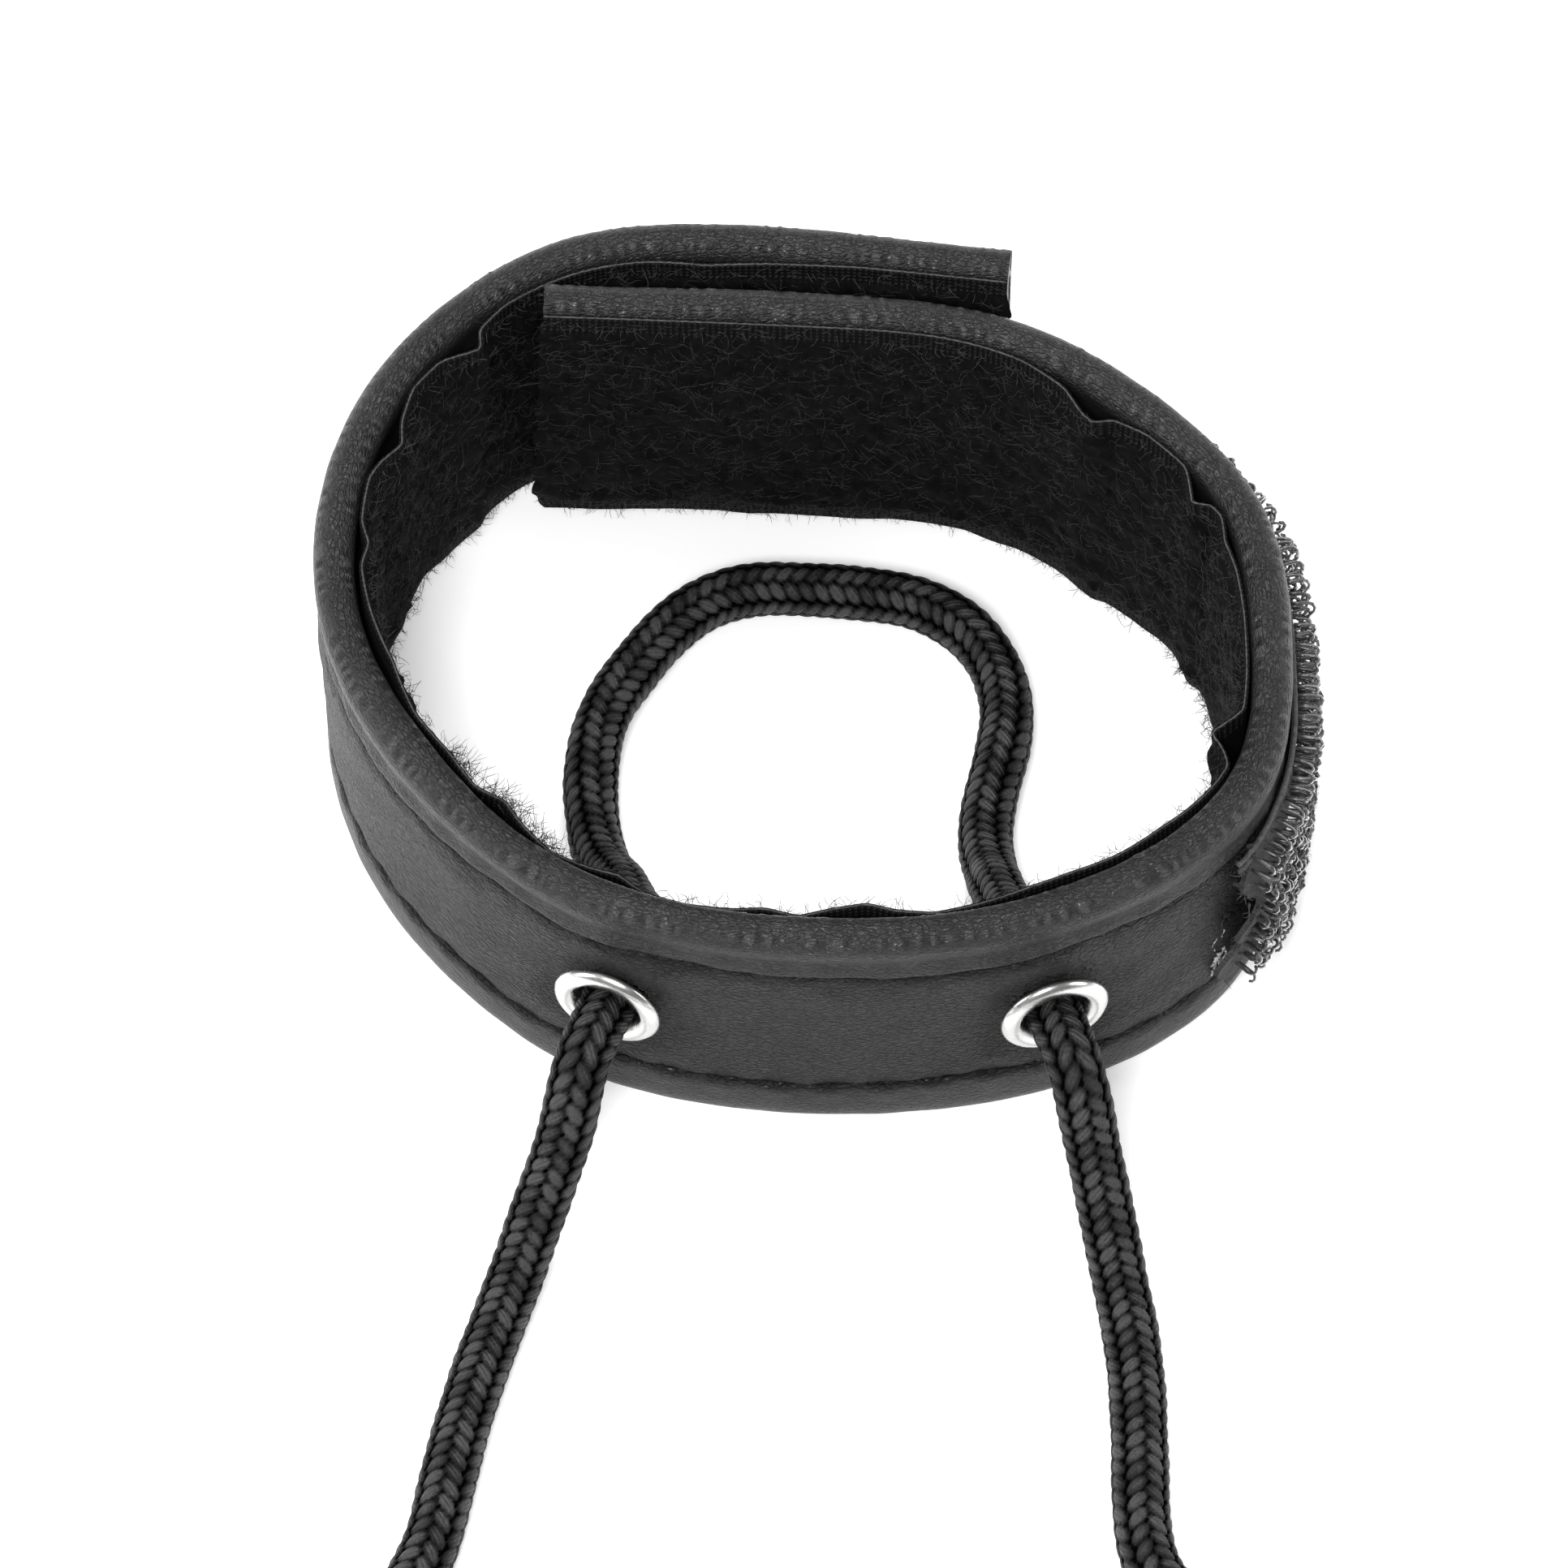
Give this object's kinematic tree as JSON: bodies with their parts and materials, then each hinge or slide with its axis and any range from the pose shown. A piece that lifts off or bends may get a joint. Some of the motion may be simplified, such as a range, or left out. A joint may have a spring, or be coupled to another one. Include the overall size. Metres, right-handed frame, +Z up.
{
  "type": "hook-and-loop cuff with cord",
  "caption": "Padded strap cuff with rolled edges that closes with hook-and-loop tape; a braided cord runs through two metal eyelets.",
  "frame": {"origin": "on the surface it stands on, under the middle of the cuff's bounding box, leaving the cord out", "axes": "+Z up out of the cuff, -Y out through the front with the two eyelets, +X to the right seen from the front"},
  "size_m": [0.1246, 0.1935, 0.0355],
  "materials": {
    "leather": "pebbled black leather, satin, shinier along the rolled edges",
    "foam": "matte closed-cell foam",
    "loop_tape": "brushed loop pile with woven edges",
    "hook_tape": "woven nylon tape with clear dark nylon hooks",
    "thread": "bonded polyester sewing thread",
    "nickel": "bright nickel plate",
    "braided_cord": "braided polyester, low sheen"
  },
  "bodies": {
    "front": {"front_cover": "leather", "front_foam": "foam", "front_lining": "loop_tape", "front_top_thread": "thread", "front_bottom_thread": "thread", "eyelet_left": "nickel", "eyelet_right": "nickel", "eyelet_washer_left": "nickel", "eyelet_washer_right": "nickel", "cord_inner_loop": "braided_cord", "cord_left_tail": "braided_cord", "cord_left_coil": "braided_cord", "cord_left_knot": "braided_cord", "cord_right_tail": "braided_cord", "cord_right_coil": "braided_cord", "cord_right_knot": "braided_cord"},
    "left_side": {"left_side_cover": "leather", "left_side_foam": "foam", "left_side_lining": "loop_tape", "left_side_top_thread": "thread", "left_side_bottom_thread": "thread"},
    "outer_flap": {"outer_flap_cover": "leather", "outer_flap_foam": "foam", "outer_flap_lining": "loop_tape", "outer_flap_top_thread": "thread", "outer_flap_bottom_thread": "thread"},
    "right_side": {"right_side_cover": "leather", "right_side_foam": "foam", "right_side_lining": "loop_tape", "right_side_hook_tape": "hook_tape", "right_side_top_thread": "thread", "right_side_bottom_thread": "thread"},
    "inner_tail": {"inner_tail_cover": "leather", "inner_tail_foam": "foam", "inner_tail_lining": "loop_tape", "inner_tail_hook_tape": "hook_tape", "inner_tail_top_thread": "thread", "inner_tail_bottom_thread": "thread"}
  },
  "joints": [
    {"name": "flap_peel", "type": "hinge", "parent": "left_side", "child": "outer_flap", "pos_m": [-0.04177, 0.01836, 0.016], "axis": [0, 0, 1], "range_deg": [0, 80]},
    {"name": "left_side_spread", "type": "hinge", "parent": "front", "child": "left_side", "pos_m": [-0.03272, -0.02499, 0.016], "axis": [0, 0, 1], "range_deg": [0, 40]},
    {"name": "right_side_spread", "type": "hinge", "parent": "front", "child": "right_side", "pos_m": [0.03692, -0.02654, 0.016], "axis": [0, 0, -1], "range_deg": [0, 12]},
    {"name": "tail_spread", "type": "hinge", "parent": "right_side", "child": "inner_tail", "pos_m": [0.03785, 0.01513, 0.016], "axis": [0, 0, -1], "range_deg": [0, 12]}
  ],
  "couplings": [
    {"joint": "right_side_spread", "follows": "flap_peel", "ratio": 0.15},
    {"joint": "tail_spread", "follows": "flap_peel", "ratio": 0.15}
  ]
}
